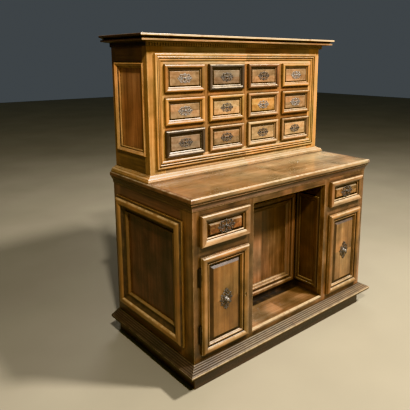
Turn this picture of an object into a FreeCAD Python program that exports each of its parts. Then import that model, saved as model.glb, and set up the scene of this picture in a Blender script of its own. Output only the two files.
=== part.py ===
"""A two-part walnut writing cabinet: a case of twelve small drawers on a kneehole base with two pedestals.

Lengths are millimetres. X runs to the right, Y to the back and Z up. The origin is at the middle of the
footprint, on the floor. Names that end in share or shares hold proportions of the size they are used with.
"""

import FreeCAD, Part
import math
import os

from FreeCAD import Vector

os.makedirs("parts", exist_ok=True)

# Lower case
lower_half_width = 590.0
lower_depth = 640.0
lower_post_width = 34.5
lower_front_post_depth = 83.0
lower_back_post_depth = 60.0
lower_frame_thickness = 24.0
lower_side_thickness = 24.0
lower_side_panel_thickness = 12.0
lower_side_panel_recess = 8.0
lower_side_bottom_rail_height = 72.0
lower_side_top_rail_height = 105.0
lower_back_thickness = 14.0
bottom_board_thickness = 20.0

# Plinth and base moulding
plinth_height = 78.0
plinth_thickness = 22.0
base_moulding_height = 42.0
base_overhang = 48.0
base_undercut = 18.0
base_edge_bottom = 12.0
base_edge_height = 9.0
base_reed_rise = 1.6
base_reed_count = 5

# Table top and the moulding under it
table_top_height = 849.0
table_thickness = 26.0
table_overhang = 19.0
table_upper_nose = 8.0
table_lower_nose = 11.0
under_top_height = 32.0
under_top_projection = 13.0

# Kneehole
kneehole_floor_thickness = 12.0
kneehole_rail_height = 61.0
kneehole_recess = 192.0
kneehole_back_thickness = 20.0
kneehole_panel_thickness = 10.0
kneehole_panel_recess = 6.0
kneehole_stile_width = 33.0
kneehole_bottom_rail_height = 51.0
pedestal_wall_thickness = 20.0

# Pedestal fronts
pedestal_opening_width = 269.0
pedestal_stile_width = 34.5
foot_rail_height = 28.5
mid_rail_height = 43.2
head_rail_height = 53.3
door_gap = 1.5
door_lock_gap = 2.0
door_frame_width = 30.0
door_stop_width = 26.0
door_stop_depth = 14.0
seat_gap = 0.3
lower_drawer_height = 133.0
lower_drawer_side_gap = 1.0
lower_drawer_top_gap = 1.7
dust_board_thickness = 16.0
runner_height = 26.0
kicker_height = 16.0

# Lower drawers and doors
big_moulding_width = 34.0
big_moulding_rise = 20.0
big_field_rise = 12.0
big_field_bevel = 6.0
big_field_margin = 7.0
door_moulding_width = 44.0
door_moulding_rise = 20.0
door_field_rise = 10.0
door_field_bevel = 12.0
panel_board_thickness = 14.0
lower_drawer_front_thickness = 22.0
lower_drawer_side_thickness = 12.0
lower_drawer_back_thickness = 10.0
lower_drawer_bottom_thickness = 8.0
lower_drawer_wall_height = 105.0
lower_drawer_back_gap = 6.0
keyhole_radius = 4.0
keyhole_slot_width = 4.0
keyhole_slot_length = 12.0
keyhole_depth = 12.0
keyhole_drop = 9.0

# Door hinges
hinge_height = 80.0
hinge_top_distance = 86.0
hinge_bottom_distance = 96.0
hinge_barrel_radius = 4.0
hinge_pin_radius = 2.0
hinge_pin_gap = 0.05
hinge_pin_head_radius = 3.2
hinge_pin_head_height = 2.5
hinge_leaf_thickness = 2.0
hinge_fixed_leaf_width = 10.0
hinge_door_leaf_depth = 12.0
hinge_gap = 0.5

# Upper case
upper_inset = 19.0
upper_depth = 309.0
upper_post_width = 81.0
upper_front_post_depth = 37.0
upper_back_post_depth = 38.0
upper_frame_thickness = 24.0
upper_side_thickness = 20.0
upper_side_panel_thickness = 6.0
upper_side_panel_recess = 12.0
upper_side_foot_rail_height = 117.0
upper_side_head_rail_height = 119.0
upper_back_thickness = 12.0
upper_bottom_thickness = 18.0
upper_roof_thickness = 18.0

# Bank of small drawers
bank_foot_height = 95.5
bank_columns = 4
bank_rows = 3
opening_height = 124.0
partition_thickness = 28.0
shelf_thickness = 23.0
bank_moulding_side_margin = 47.0
bank_moulding_end_margin = 46.5
bank_moulding_width = 34.0
bank_moulding_rise = 11.0

# Small drawers
small_side_gap = 1.0
small_top_gap = 1.7
small_front_thickness = 16.0
small_moulding_width = 23.0
small_moulding_rise = 14.0
small_field_rise = 6.0
small_field_bevel = 3.0
small_field_margin = 4.0
small_drawer_side_thickness = 8.0
small_drawer_back_thickness = 8.0
small_drawer_bottom_thickness = 6.0
small_drawer_wall_height = 100.0
small_drawer_back_gap = 1.5

# Cornice and upper base moulding
frieze_height = 30.0
cornice_overhang = 62.0
cornice_board_thickness = 9.0
cornice_board_top_round = 2.5
cornice_board_under_round = 3.0
cornice_crown_projection = 57.0
cornice_hollow_projection = 40.0
cornice_hollow_height = 11.0
cornice_fillet_projection = 54.0
cornice_fillet_height = 7.0
cornice_bed_projection = 20.0
cornice_bed_height = 4.0
dentil_band_projection = 8.0
dentil_band_bottom = 2.0
dentil_height = 14.0
dentil_depth = 9.0
dentil_width = 8.5
dentil_spine_height = 3.0
dentil_count = 84
upper_base_height = 28.0
upper_base_projection = 30.0

# Panel mouldings of the sides and the kneehole
lower_side_moulding_width = 78.0
lower_side_moulding_rise = 25.0
lower_side_moulding_lap = 20.0
upper_side_moulding_width = 24.0
upper_side_moulding_rise = 9.0
upper_side_moulding_lap = 8.0
kneehole_moulding_width = 56.0
kneehole_moulding_rise = 18.0
kneehole_moulding_lap = 15.0
kneehole_head_rail_height = 155.0
wall_moulding_width = 28.0
wall_moulding_rise = 9.0
wall_moulding_margin = 8.0
wall_moulding_foot_margin = 38.0
wall_moulding_head_margin = 72.0

# Iron mounts
small_mount_width = 80.0
small_mount_height = 44.0
small_mount_thickness = 1.6
large_mount_width = 104.0
large_mount_margin = 1.5
large_mount_thickness = 2.0
rosette_width = 66.0
rosette_height = 100.0
rosette_thickness = 2.0
small_knob_radius = 4.5
small_knob_length = 9.0
large_knob_radius = 6.0
large_knob_length = 12.0
door_knob_radius = 9.0
door_knob_length = 18.0
knob_neck_share = 0.45

# Back boards
back_board_count = 5
back_board_gap = 0.6

# Cuts run this far past what they cut
overrun = 5.0

# Outlines of the mouldings: (inward, outward) in shares of the width and the rise.
# A pair of points is an arc through the first to the second.
big_moulding_shares = [
    (0, 0), (0, 0.66), ((0.05, 0.92), (0.2, 1.0)), ((0.45, 1.0), (0.66, 0.86)),
    ((0.76, 0.72), (0.79, 0.5)), (0.84, 0.5), ((0.96, 0.44), (1, 0.2)), (1, 0),
]
door_moulding_shares = [
    (0, 0), (0, 0.5), (0.06, 0.54), ((0.11, 0.88), (0.22, 1.0)), ((0.4, 1.0), (0.56, 0.84)),
    ((0.65, 0.68), (0.67, 0.44)), (0.75, 0.4), (0.78, 0.58), ((0.87, 0.56), (0.94, 0.3)), (1, 0.1), (1, 0),
]
small_moulding_shares = [
    (0, 0), (0, 0.6), ((0.05, 0.86), (0.18, 1.0)), ((0.45, 1.0), (0.64, 0.8)),
    ((0.72, 0.66), (0.74, 0.46)), (0.84, 0.46), (1, 0.3), (1, 0),
]
bank_moulding_shares = [
    (0, 0), (0, 0.8), ((0.05, 1.0), (0.14, 1.0)), (0.26, 1.0), (0.28, 0.3), (0.35, 0.3), (0.37, 0.72),
    ((0.47, 0.86), (0.57, 0.7)), (0.59, 0.24), (0.67, 0.24), (0.69, 0.5), ((0.85, 0.48), (1, 0.15)), (1, 0),
]
lower_side_moulding_shares = [
    (0, 0), (0, 0.34), (0.06, 0.36), ((0.13, 0.84), (0.32, 1.0)), ((0.5, 0.88), (0.57, 0.5)), (0.6, 0.3),
    ((0.72, 0.08), (0.83, 0.0)), (0.85, 0.16), ((0.9, 0.24), (0.96, 0.1)), (1, -0.2),
]
upper_side_moulding_shares = [
    (0, 0), (0, 0.5), ((0.08, 0.96), (0.25, 0.9)), (0.42, 0.5), ((0.6, 0.2), (0.72, -0.4)),
    (0.8, -0.45), (1, -1.1),
]
kneehole_moulding_shares = [
    (0, 0), (0, 0.6), ((0.06, 0.94), (0.2, 1.0)), ((0.36, 0.92), (0.42, 0.6)), (0.44, 0.3), (0.51, 0.3),
    (0.53, 0.5), ((0.63, 0.64), (0.74, 0.44)), (0.78, 0.1), ((0.87, 0.0), (0.94, -0.2)), (1, -0.25),
]
wall_moulding_shares = [
    (0, 0), (0, 0.6), ((0.06, 0.96), (0.2, 1.0)), ((0.42, 0.9), (0.5, 0.5)), (0.6, 0.5),
    ((0.85, 0.4), (1, 0.1)), (1, 0),
]
# Outlines of the mouldings that run round a case: (inward, upward) in shares of the projection and height.
upper_base_shares = [
    (1, 0), (0, 0), (0, 0.3), (0.12, 0.34), ((0.2, 0.6), (0.48, 0.68)), (0.52, 0.78),
    ((0.72, 0.8), (0.8, 1)), (1, 1),
]
under_top_shares = [
    (1, 0), (0.82, 0), (0.82, 0.12), (0.7, 0.16), ((0.5, 0.6), (0.08, 0.84)), (0, 0.86), (0, 1),
    (1, 1),
]
# Rings and discs of the pierced mounts: across and up in shares of half the mount, radius in shares of
# its shorter side.
drawer_ring_places_shares = [
    (0.2, 0.5, 0.22), (0.44, 0.2, 0.24), (0.7, 0.34, 0.19), (0.86, 0.0, 0.15), (0.0, 0.78, 0.13),
]
rosette_ring_places_shares = [
    (0.0, 0.42, 0.16), (0.46, 0.3, 0.14), (0.0, 0.8, 0.1), (0.7, 0.0, 0.11), (0.34, 0.62, 0.1),
]
ring_hole_share = 0.56
mount_centre_share = 0.24
rosette_centre_share = 0.17

# Places that follow from the sizes
back_y = (lower_depth + base_overhang) / 2
lower_front_y = back_y - lower_depth
upper_front_y = back_y - upper_depth
lower_bottom_z = plinth_height + base_moulding_height
table_under_z = table_top_height - table_thickness
opening_left = -lower_half_width + lower_post_width
opening_right = opening_left + pedestal_opening_width
kneehole_half_width = -opening_right - pedestal_stile_width
wall_outer_x = kneehole_half_width + pedestal_wall_thickness
kneehole_floor_z = lower_bottom_z + bottom_board_thickness + kneehole_floor_thickness
kneehole_top_z = table_under_z - kneehole_rail_height
kneehole_panel_top_z = table_under_z - kneehole_head_rail_height
drawer_ceiling_z = table_under_z - head_rail_height
lower_drawer_bottom_z = drawer_ceiling_z - lower_drawer_top_gap - lower_drawer_height
drawer_floor_z = lower_drawer_bottom_z - seat_gap
door_bottom_z = lower_bottom_z + foot_rail_height + door_gap
door_top_z = drawer_floor_z - mid_rail_height - door_gap
door_middle_z = (door_bottom_z + door_top_z) / 2
upper_hinge_z = door_top_z - hinge_top_distance
lower_hinge_z = door_bottom_z + hinge_bottom_distance
inner_back_y = back_y - lower_back_thickness
upper_half_width = lower_half_width - upper_inset
bank_half_width = upper_half_width - upper_post_width
opening_width = (2 * bank_half_width - (bank_columns - 1) * partition_thickness) / bank_columns
bank_bottom_z = table_top_height + bank_foot_height
bank_top_z = bank_bottom_z + bank_rows * opening_height + (bank_rows - 1) * shelf_thickness
cornice_bottom_z = bank_top_z + bank_moulding_end_margin + frieze_height
dentil_top_z = cornice_bottom_z + dentil_band_bottom + dentil_height + dentil_spine_height
cornice_fillet_z = dentil_top_z + cornice_bed_height
cornice_hollow_z = cornice_fillet_z + cornice_fillet_height
cornice_board_z = cornice_hollow_z + cornice_hollow_height
cornice_top_z = cornice_board_z + cornice_board_thickness

right = Vector(1, 0, 0)
left = Vector(-1, 0, 0)
backward = Vector(0, 1, 0)
forward = Vector(0, -1, 0)
up = Vector(0, 0, 1)


def board(x0, x1, y0, y1, z0, z1):
    """A straight board between two corners."""
    return Part.makeBox(x1 - x0, y1 - y0, z1 - z0, Vector(x0, y0, z0))


def mirrored(shape):
    """The same piece on the other side of the cabinet."""
    return shape.mirror(Vector(0, 0, 0), right)


def both(shapes):
    """The pieces and their mirror images."""
    return shapes + [mirrored(shape) for shape in shapes]


def save(node, shapes):
    """Write one node, as a single solid or a group of separate solids."""
    solids = [solid for shape in shapes for solid in shape.Solids]
    whole = solids[0] if len(solids) == 1 else Part.makeCompound(solids)
    whole.exportStep("parts/" + node + ".step")


def section(shares, width, rise, place):
    """A closed moulding section from its outline in shares; place turns (inward, outward) into a point."""
    def point(pair):
        return place(pair[0] * width, pair[1] * rise)

    edges = []
    here = point(shares[0])
    for step in shares[1:]:
        if isinstance(step[0], tuple):
            there = point(step[1])
            edges.append(Part.Arc(here, point(step[0]), there).toShape())
        else:
            there = point(step)
            edges.append(Part.LineSegment(here, there).toShape())
        here = there
    edges.append(Part.LineSegment(here, point(shares[0])).toShape())
    return Part.Face(Part.Wire(edges))


def moulding_length(shares, width, rise, origin, along, inward, outward, length, mitre_end=True):
    """One length of moulding, cut at 45 degrees where it meets its neighbour."""
    def place(a, p):
        return origin + inward * a + outward * p

    bar = section(shares, width, rise, place).extrude(along * length)
    end = length - width if mitre_end else length
    low = origin - outward * (2 * rise)
    deep = low + inward * width
    corners = [low, low + along * length, deep + along * end, deep + along * width]
    edges = [Part.LineSegment(a, b).toShape() for a, b in zip(corners, corners[1:] + corners[:1])]
    return bar.common(Part.Face(Part.Wire(edges)).extrude(outward * (4 * rise)))


def picture_frame(shares, width, rise, corner, across, upward, outward, span, height):
    """Four mitred lengths round a rectangle: bottom, far side, top and near side."""
    far = corner + across * span
    top = upward * height
    runs = [
        (corner, across, upward, span), (far, upward, across * -1, height),
        (far + top, across * -1, upward * -1, span), (corner + top, upward * -1, across, height),
    ]
    return [moulding_length(shares, width, rise, a, b, c, outward, d) for a, b, c, d in runs]


def case_moulding(shares, projection, height, half_width, front_y, z):
    """A moulding round the front and both sides of a case, square at the back."""
    outer = half_width + projection
    nose = front_y - projection
    corner = Vector(-outer, nose, z)
    front = moulding_length(shares, projection, height, corner, right, backward, up, 2 * outer)
    side = moulding_length(shares, projection, height, corner, backward, right, up, back_y - nose, False)
    return [front, side, mirrored(side)]


def fielded(x0, x1, z0, z1, face_y, rise, bevel):
    """A raised field with bevelled edges, standing forward of a face."""
    def ring(inset, y):
        xs = [x0 + inset, x1 - inset, x1 - inset, x0 + inset, x0 + inset]
        zs = [z0 + inset, z0 + inset, z1 - inset, z1 - inset, z0 + inset]
        return Part.makePolygon([Vector(x, y, z) for x, z in zip(xs, zs)])

    return Part.makeLoft([ring(0, face_y), ring(bevel, face_y - rise)], True, True)


def frame_section(shares, lap, width, rise, recess):
    """A bolection outline: the part past the lap drops behind the face to meet the recessed panel."""
    return shares + [(1, -recess / rise), (lap / width, -recess / rise), (lap / width, 0)]


def plinth():
    """Four boards on edge that carry the lower case; the base moulding is planted round their tops."""
    outer = lower_half_width
    inner_front = lower_front_y + plinth_thickness
    inner_back = back_y - plinth_thickness
    front = board(-outer, outer, lower_front_y, inner_front, 0, lower_bottom_z)
    rear = board(-outer, outer, inner_back, back_y, 0, lower_bottom_z)
    side = board(-outer, -outer + plinth_thickness, inner_front, inner_back, 0, lower_bottom_z)
    return [front, rear] + both([side])


def base_moulding_shares():
    """The reeded slope, its arris, the upright edge and the undercut, in shares of projection and height."""
    edge = base_edge_bottom / base_moulding_height
    arris = (base_edge_bottom + base_edge_height) / base_moulding_height
    lip = base_reed_rise / base_overhang
    shares = [(1, 0), (base_undercut / base_overhang, 0)]
    shares.append(((lip + base_undercut / base_overhang / 4, edge / 3), (lip, edge)))
    shares.append((0, edge + lip))
    shares.append((0, arris))
    run = (1 - 2 * lip) / base_reed_count
    climb = (1 - arris) / base_reed_count
    slope = math.hypot(run * base_overhang, climb * base_moulding_height)
    off_a = -climb * base_moulding_height * base_reed_rise / slope / base_overhang
    off_h = run * base_overhang * base_reed_rise / slope / base_moulding_height
    shares.append((2 * lip, arris))
    for reed in range(base_reed_count):
        a = 2 * lip + run * reed
        h = arris + climb * reed
        crown = (a + run / 2 + off_a, h + climb / 2 + off_h)
        shares.append((crown, (min(a + run, 1), h + climb)))
    return shares


def lower_posts_and_rails():
    """The front: corner posts, pedestal stiles, and the rails round the drawers and doors."""
    y0 = lower_front_y
    y1 = y0 + lower_frame_thickness
    post_y = y0 + lower_front_post_depth
    post = board(-lower_half_width, opening_left, y0, post_y, lower_bottom_z, table_under_z)
    stile = board(opening_right, -kneehole_half_width, y0, y1, lower_bottom_z, table_under_z)
    top_rail = board(opening_left, opening_right, y0, y1, drawer_ceiling_z, table_under_z)
    mid_rail = board(opening_left, opening_right, y0, y1, door_top_z + door_gap, drawer_floor_z)
    foot_rail = board(opening_left, opening_right, y0, y1, lower_bottom_z, door_bottom_z - door_gap)
    half = kneehole_half_width
    knee_rail = board(-half, half, y0, y1, kneehole_top_z, table_under_z)
    sill = board(-half, half, y0, y1, lower_bottom_z, lower_bottom_z + bottom_board_thickness)
    return both([post, stile, top_rail, mid_rail, foot_rail]) + [knee_rail, sill]


def lower_side_opening():
    """Front, back, bottom and top of the opening in the lower side frame."""
    return (
        lower_front_y + lower_front_post_depth, back_y - lower_back_post_depth,
        lower_bottom_z + lower_side_bottom_rail_height, table_under_z - lower_side_top_rail_height,
    )


def lower_side_frames():
    y0, y1, z0, z1 = lower_side_opening()
    x0 = -lower_half_width
    x1 = x0 + lower_side_thickness
    back_post = board(x0, opening_left, y1, back_y, lower_bottom_z, table_under_z)
    foot_rail = board(x0, x1, y0, y1, lower_bottom_z, z0)
    head_rail = board(x0, x1, y0, y1, z1, table_under_z)
    return both([back_post, foot_rail, head_rail])


def lower_side_panels():
    y0, y1, z0, z1 = lower_side_opening()
    x0 = -lower_half_width + lower_side_panel_recess
    return both([board(x0, x0 + lower_side_panel_thickness, y0, y1, z0, z1)])


def lower_side_mouldings():
    y0, y1, z0, z1 = lower_side_opening()
    lap = lower_side_moulding_lap
    shares = frame_section(
        lower_side_moulding_shares, lap, lower_side_moulding_width, lower_side_moulding_rise,
        lower_side_panel_recess,
    )
    corner = Vector(-lower_half_width, y0 - lap, z0 - lap)
    lengths = picture_frame(
        shares, lower_side_moulding_width, lower_side_moulding_rise, corner, backward, up, left,
        y1 - y0 + 2 * lap, z1 - z0 + 2 * lap,
    )
    return both(lengths)


def lower_back():
    """Upright boards between the back posts."""
    span = (2 * -opening_left - (back_board_count - 1) * back_board_gap) / back_board_count
    boards = []
    for number in range(back_board_count):
        x = opening_left + number * (span + back_board_gap)
        boards.append(board(x, x + span, inner_back_y, back_y, lower_bottom_z, table_under_z))
    return boards


def lower_bottom():
    y0 = lower_front_y + lower_frame_thickness
    top = lower_bottom_z + bottom_board_thickness
    return [board(opening_left, -opening_left, y0, inner_back_y, lower_bottom_z, top)]


def kneehole_back_plane():
    return lower_front_y + kneehole_recess


def kneehole_lining():
    """The kneehole's floor and side walls, and the frame and panel at its back."""
    y0 = lower_front_y + lower_frame_thickness
    back = kneehole_back_plane()
    floor_z = kneehole_floor_z
    under = floor_z - kneehole_floor_thickness
    half = kneehole_half_width
    floor = board(-half, half, lower_front_y, inner_back_y, under, floor_z)
    wall = board(-wall_outer_x, -half, y0, inner_back_y, under, table_under_z)
    rear = back + kneehole_back_thickness
    inner = half - kneehole_stile_width
    low = floor_z + kneehole_bottom_rail_height
    high = kneehole_panel_top_z
    stile = board(-half, -inner, back, rear, floor_z, table_under_z)
    foot_rail = board(-inner, inner, back, rear, floor_z, low)
    head_rail = board(-inner, inner, back, rear, high, table_under_z)
    face = back + kneehole_panel_recess
    panel = board(-inner, inner, face, face + kneehole_panel_thickness, low, high)
    return [floor, foot_rail, head_rail, panel] + both([wall, stile])


def kneehole_mouldings():
    """The bolection round the back panel and the smaller frame on each side wall."""
    lap = kneehole_moulding_lap
    inner = kneehole_half_width - kneehole_stile_width + lap
    low = kneehole_floor_z + kneehole_bottom_rail_height - lap
    high = kneehole_panel_top_z + lap
    shares = frame_section(
        kneehole_moulding_shares, lap, kneehole_moulding_width, kneehole_moulding_rise, kneehole_panel_recess
    )
    rear = picture_frame(
        shares, kneehole_moulding_width, kneehole_moulding_rise, Vector(-inner, kneehole_back_plane(), low),
        right, up, forward, 2 * inner, high - low,
    )
    y0 = lower_front_y + lower_frame_thickness + wall_moulding_margin
    y1 = kneehole_back_plane() - wall_moulding_margin
    z0 = kneehole_floor_z + wall_moulding_foot_margin
    z1 = kneehole_top_z - wall_moulding_head_margin
    wall = picture_frame(
        wall_moulding_shares, wall_moulding_width, wall_moulding_rise,
        Vector(-kneehole_half_width, y0, z0), backward, up, right, y1 - y0, z1 - z0,
    )
    return rear + both(wall)


def pedestal_runners():
    """Dust board, drawer guides, kickers and the door stop of each pedestal."""
    y0 = lower_front_y + lower_frame_thickness
    y1 = inner_back_y
    post_y = lower_front_y + lower_front_post_depth
    back_post_y = back_y - lower_back_post_depth
    side_x = -lower_half_width + lower_side_thickness
    wall_x = -wall_outer_x
    floor_z = drawer_floor_z
    under = floor_z - dust_board_thickness
    guide_z = floor_z + runner_height
    low = drawer_ceiling_z
    high = low + kicker_height
    dust = board(opening_left, wall_x, y0, y1, under, floor_z)
    ledge = board(side_x, opening_left, post_y, back_post_y, under, floor_z)
    outer_guide = board(side_x, opening_left, post_y, back_post_y, floor_z, guide_z)
    inner_guide = board(opening_right, wall_x, y0, y1, floor_z, guide_z)
    outer_kicker = board(side_x, opening_left, post_y, back_post_y, low, high)
    inner_kicker = board(opening_right - kicker_height, wall_x, y0, y1, low, high)
    stop_z = kneehole_floor_z - kneehole_floor_thickness
    stop = board(wall_x - door_stop_width, wall_x, y0, y0 + door_stop_depth, stop_z, under)
    return both([dust, ledge, outer_guide, inner_guide, outer_kicker, inner_kicker, stop])


def nosed(slab, z, radius):
    """A board with its front and end edges rounded at one height."""
    edges = [
        edge for edge in slab.Edges
        if edge.BoundBox.ZMin > z - seat_gap and edge.BoundBox.ZMax < z + seat_gap
        and edge.BoundBox.YMin < back_y - seat_gap
    ]
    return slab.makeFillet(radius, edges)


def table_top():
    """One thick board with a rounded nose along the front and the ends."""
    half = lower_half_width + table_overhang
    front_y = lower_front_y - table_overhang
    slab = board(-half, half, front_y, back_y, table_under_z, table_top_height)
    return [nosed(nosed(slab, table_top_height, table_upper_nose), table_under_z, table_lower_nose)]


def upper_front_frame():
    """The stiles, the frieze rail and the bottom rail round the bank of drawers."""
    y0 = upper_front_y
    y1 = y0 + upper_frame_thickness
    inner = bank_half_width
    post_y = y0 + upper_front_post_depth
    post = board(-upper_half_width, -inner, y0, post_y, table_top_height, cornice_board_z)
    frieze = board(-inner, inner, y0, y1, bank_top_z, cornice_board_z)
    foot_rail = board(-inner, inner, y0, y1, table_top_height, bank_bottom_z)
    return both([post]) + [frieze, foot_rail]


def upper_side_opening():
    """Front, back, bottom and top of the opening in the upper side frame."""
    return (
        upper_front_y + upper_front_post_depth, back_y - upper_back_post_depth,
        table_top_height + upper_side_foot_rail_height, cornice_board_z - upper_side_head_rail_height,
    )


def upper_side_frames():
    y0, y1, z0, z1 = upper_side_opening()
    x0 = -upper_half_width
    x1 = x0 + upper_side_thickness
    back_post = board(x0, x1, y1, back_y, table_top_height, cornice_board_z)
    foot_rail = board(x0, x1, y0, y1, table_top_height, z0)
    head_rail = board(x0, x1, y0, y1, z1, cornice_board_z)
    return both([back_post, foot_rail, head_rail])


def upper_side_panels():
    y0, y1, z0, z1 = upper_side_opening()
    x0 = -upper_half_width + upper_side_panel_recess
    return both([board(x0, x0 + upper_side_panel_thickness, y0, y1, z0, z1)])


def upper_side_mouldings():
    y0, y1, z0, z1 = upper_side_opening()
    lap = upper_side_moulding_lap
    shares = frame_section(
        upper_side_moulding_shares, lap, upper_side_moulding_width, upper_side_moulding_rise,
        upper_side_panel_recess,
    )
    corner = Vector(-upper_half_width, y0 - lap, z0 - lap)
    lengths = picture_frame(
        shares, upper_side_moulding_width, upper_side_moulding_rise, corner, backward, up, left,
        y1 - y0 + 2 * lap, z1 - z0 + 2 * lap,
    )
    return both(lengths)


def upper_back():
    """Upright boards between the back posts of the upper case."""
    edge = upper_half_width - upper_side_thickness
    span = (2 * edge - (back_board_count - 1) * back_board_gap) / back_board_count
    y0 = back_y - upper_back_thickness
    boards = []
    for number in range(back_board_count):
        x = -edge + number * (span + back_board_gap)
        boards.append(board(x, x + span, y0, back_y, table_top_height, cornice_board_z))
    return boards


def opening_corner(column, row):
    """The lower left corner of one drawer's opening; row 0 is the top row."""
    x = -bank_half_width + column * (opening_width + partition_thickness)
    z = bank_top_z - opening_height - row * (opening_height + shelf_thickness)
    return x, z


def upper_inner_boards():
    """Bottom, roof, partitions and shelves inside the upper case."""
    rear = back_y - upper_back_thickness
    y1 = upper_front_y + upper_frame_thickness
    edge = upper_half_width - upper_side_thickness
    post_y = upper_front_y + upper_front_post_depth
    inner = bank_half_width
    floor_z = table_top_height + upper_bottom_thickness
    roof_z = cornice_board_z - upper_roof_thickness
    bottom = board(-inner, inner, y1, rear, table_top_height, floor_z)
    roof = board(-inner, inner, y1, rear, roof_z, cornice_board_z)
    roof_end = board(-edge, -inner, post_y, rear, roof_z, cornice_board_z)
    bottom_end = board(-edge, -inner, post_y, rear, table_top_height, floor_z)
    cheek = board(-inner - partition_thickness, -inner, post_y, rear, floor_z, roof_z)
    pieces = [bottom, roof] + both([roof_end, bottom_end, cheek])
    for column in range(bank_columns):
        x, z = opening_corner(column, 0)
        pieces.append(board(x, x + opening_width, y1, rear, bank_top_z, bank_top_z + shelf_thickness))
        for row in range(bank_rows):
            x, z = opening_corner(column, row)
            front = y1 if row == bank_rows - 1 else upper_front_y
            pieces.append(board(x, x + opening_width, front, rear, z - shelf_thickness, z))
    for column in range(bank_columns - 1):
        x, z = opening_corner(column, 0)
        x += opening_width
        pieces.append(board(x, x + partition_thickness, upper_front_y, rear, bank_bottom_z, bank_top_z))
        pieces.append(board(x, x + partition_thickness, y1, rear, bank_top_z, roof_z))
    return pieces


def bank_moulding():
    """The stepped frame round the bank of drawers."""
    half = bank_half_width + bank_moulding_side_margin
    low = bank_bottom_z - bank_moulding_end_margin
    high = bank_top_z + bank_moulding_end_margin
    return picture_frame(
        bank_moulding_shares, bank_moulding_width, bank_moulding_rise, Vector(-half, upper_front_y, low),
        right, up, forward, 2 * half, high - low,
    )


def cornice_moulding_shares(height):
    """The flat band behind the teeth, the fillet standing out over them, and the hollow under the board."""
    reach = cornice_crown_projection
    band = 1 - dentil_band_projection / reach
    bed = 1 - cornice_bed_projection / reach
    fillet = 1 - cornice_fillet_projection / reach
    hollow = 1 - cornice_hollow_projection / reach
    teeth_top = (dentil_top_z - cornice_bottom_z) / height
    fillet_bottom = (cornice_fillet_z - cornice_bottom_z) / height
    fillet_top = (cornice_hollow_z - cornice_bottom_z) / height
    return [
        (1, 0), (band, 0), (band, teeth_top), (bed, teeth_top), (fillet, fillet_bottom), (fillet, fillet_top),
        (hollow, fillet_top), ((0.7 * hollow, (1 + fillet_top) / 2), (0, 1)), (1, 1),
    ]


def cornice():
    """The moulded lengths under the top board, and the board with its rounded edge."""
    height = cornice_board_z - cornice_bottom_z
    lengths = case_moulding(
        cornice_moulding_shares(height), cornice_crown_projection, height, upper_half_width, upper_front_y,
        cornice_bottom_z,
    )
    half = upper_half_width + cornice_overhang
    top = board(-half, half, upper_front_y - cornice_overhang, back_y, cornice_board_z, cornice_top_z)
    top = nosed(top, cornice_board_z, cornice_board_under_round)
    return lengths + [nosed(top, cornice_top_z, cornice_board_top_round)]


def dentil_strip():
    """A comb of small square teeth along the front of the cornice."""
    face_y = upper_front_y - dentil_band_projection
    half = upper_half_width + dentil_band_projection
    z0 = cornice_bottom_z + dentil_band_bottom
    spine = board(-half, half, face_y - dentil_depth, face_y, z0 + dentil_height, dentil_top_z)
    pitch = (2 * half - dentil_width) / (dentil_count - 1)
    teeth = []
    for number in range(dentil_count):
        x = -half + number * pitch
        teeth.append(board(x, x + dentil_width, face_y - dentil_depth, face_y, z0, z0 + dentil_height))
    return [spine.fuse(teeth).removeSplitter()]


def keyhole(x, z, face_y):
    """The cutter for a keyhole: a round hole over a slot."""
    y0 = face_y - overrun
    half = keyhole_slot_width / 2
    round_hole = Part.makeCylinder(keyhole_radius, keyhole_depth + overrun, Vector(x, y0, z), backward)
    slot = board(x - half, x + half, y0, face_y + keyhole_depth, z - keyhole_slot_length, z)
    return round_hole.fuse(slot)


def door_pieces():
    """The left door: frame boards with the moulding on them, and the raised panel."""
    x0 = opening_left + door_gap
    x1 = opening_right - door_lock_gap
    z0 = door_bottom_z
    z1 = door_top_z
    y0 = lower_front_y
    y1 = y0 + lower_frame_thickness - seat_gap
    wide = door_frame_width
    stiles = [board(x, x + wide, y0, y1, z0, z1) for x in (x0, x1 - wide)]
    rails = [board(x0 + wide, x1 - wide, y0, y1, z, z + wide) for z in (z0, z1 - wide)]
    lengths = picture_frame(
        door_moulding_shares, door_moulding_width, door_moulding_rise, Vector(x0, y0, z0), right, up, forward,
        x1 - x0, z1 - z0,
    )
    hole = keyhole(x1 - door_moulding_width / 2, door_middle_z - keyhole_drop, y0 - door_moulding_rise)
    lengths[1] = lengths[1].cut(hole)
    inset = door_moulding_width + big_field_margin
    base = board(x0 + wide, x1 - wide, y0, y0 + panel_board_thickness, z0 + wide, z1 - wide)
    field = fielded(x0 + inset, x1 - inset, z0 + inset, z1 - inset, y0, door_field_rise, door_field_bevel)
    return stiles + rails + lengths, [base.fuse(field).removeSplitter()]


def hinge_axis():
    """Where the left door's hinge pin stands, seen from above."""
    x = opening_left + door_gap - hinge_barrel_radius - hinge_gap
    y = lower_front_y - hinge_barrel_radius - hinge_gap
    return x, y


def hinge_zones(z):
    """The heights of the three knuckles of a hinge centred at z: low, middle and high."""
    knuckle = (hinge_height - 2 * hinge_gap) / 3
    low = z - hinge_height / 2
    return [(low + number * (knuckle + hinge_gap), knuckle) for number in range(3)]


def knuckle(z, height):
    """One hinge knuckle with its bore."""
    x, y = hinge_axis()
    bore = hinge_pin_radius + hinge_pin_gap
    barrel = Part.makeCylinder(hinge_barrel_radius, height, Vector(x, y, z))
    return barrel, Part.makeCylinder(bore, height + 2 * overrun, Vector(x, y, z - overrun))


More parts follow.
